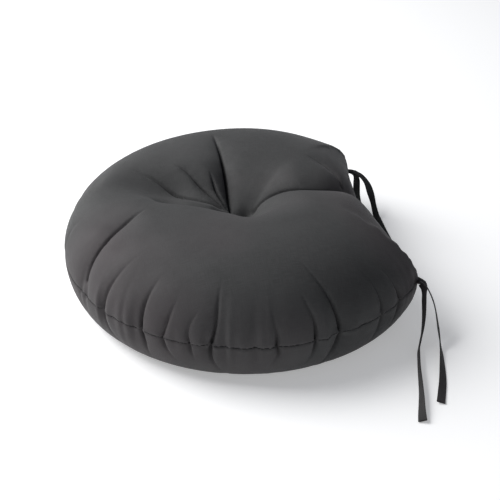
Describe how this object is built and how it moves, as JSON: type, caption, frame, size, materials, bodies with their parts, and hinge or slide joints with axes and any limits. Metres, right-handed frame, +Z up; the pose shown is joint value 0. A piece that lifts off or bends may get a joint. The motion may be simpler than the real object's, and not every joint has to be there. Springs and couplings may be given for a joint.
{
  "type": "tie-on floor cushion",
  "caption": "Round tufted cushion with one straight side, a fibre filling and a pair of fabric ties at each end of the straight side.",
  "frame": {"origin": "on the floor under the middle of the cushion's length and width, measured without its ties", "axes": "+Z up, +Y towards the straight side with the ties, +X towards the right-hand tie"},
  "size_m": [0.5379, 0.4372, 0.132],
  "materials": {
    "cover_fabric": "matt plain weave, charcoal",
    "tie_fabric": "matt plain weave, charcoal",
    "thread": "spun polyester",
    "filling": "loose polyester fibre"
  },
  "bodies": {
    "cushion": {"top_panel": "cover_fabric", "bottom_panel": "cover_fabric", "fibre_filling": "filling", "seam_thread_right": "thread", "closing_thread": "thread", "seam_thread_left": "thread", "seam_thread_straight": "thread", "tuft_cord": "thread", "top_tuft_stitch": "thread", "bottom_tuft_knot": "thread", "right_tie_fold": "tie_fabric", "left_tie_fold": "tie_fabric"},
    "right_tie": {"right_tie_tail_1": "tie_fabric", "right_tie_tail_2": "tie_fabric"},
    "left_tie": {"left_tie_tail_1": "tie_fabric", "left_tie_tail_2": "tie_fabric"}
  },
  "joints": [
    {"name": "right_tie_lift", "type": "hinge", "parent": "cushion", "child": "right_tie", "pos_m": [0.1427, 0.2037, 0.056], "axis": [-0.27, -0.9629, 0], "range_deg": [0, 75]},
    {"name": "left_tie_lift", "type": "hinge", "parent": "cushion", "child": "left_tie", "pos_m": [-0.1329, 0.2058, 0.0565], "axis": [0.12, -0.9928, 0], "range_deg": [0, 75]}
  ]
}
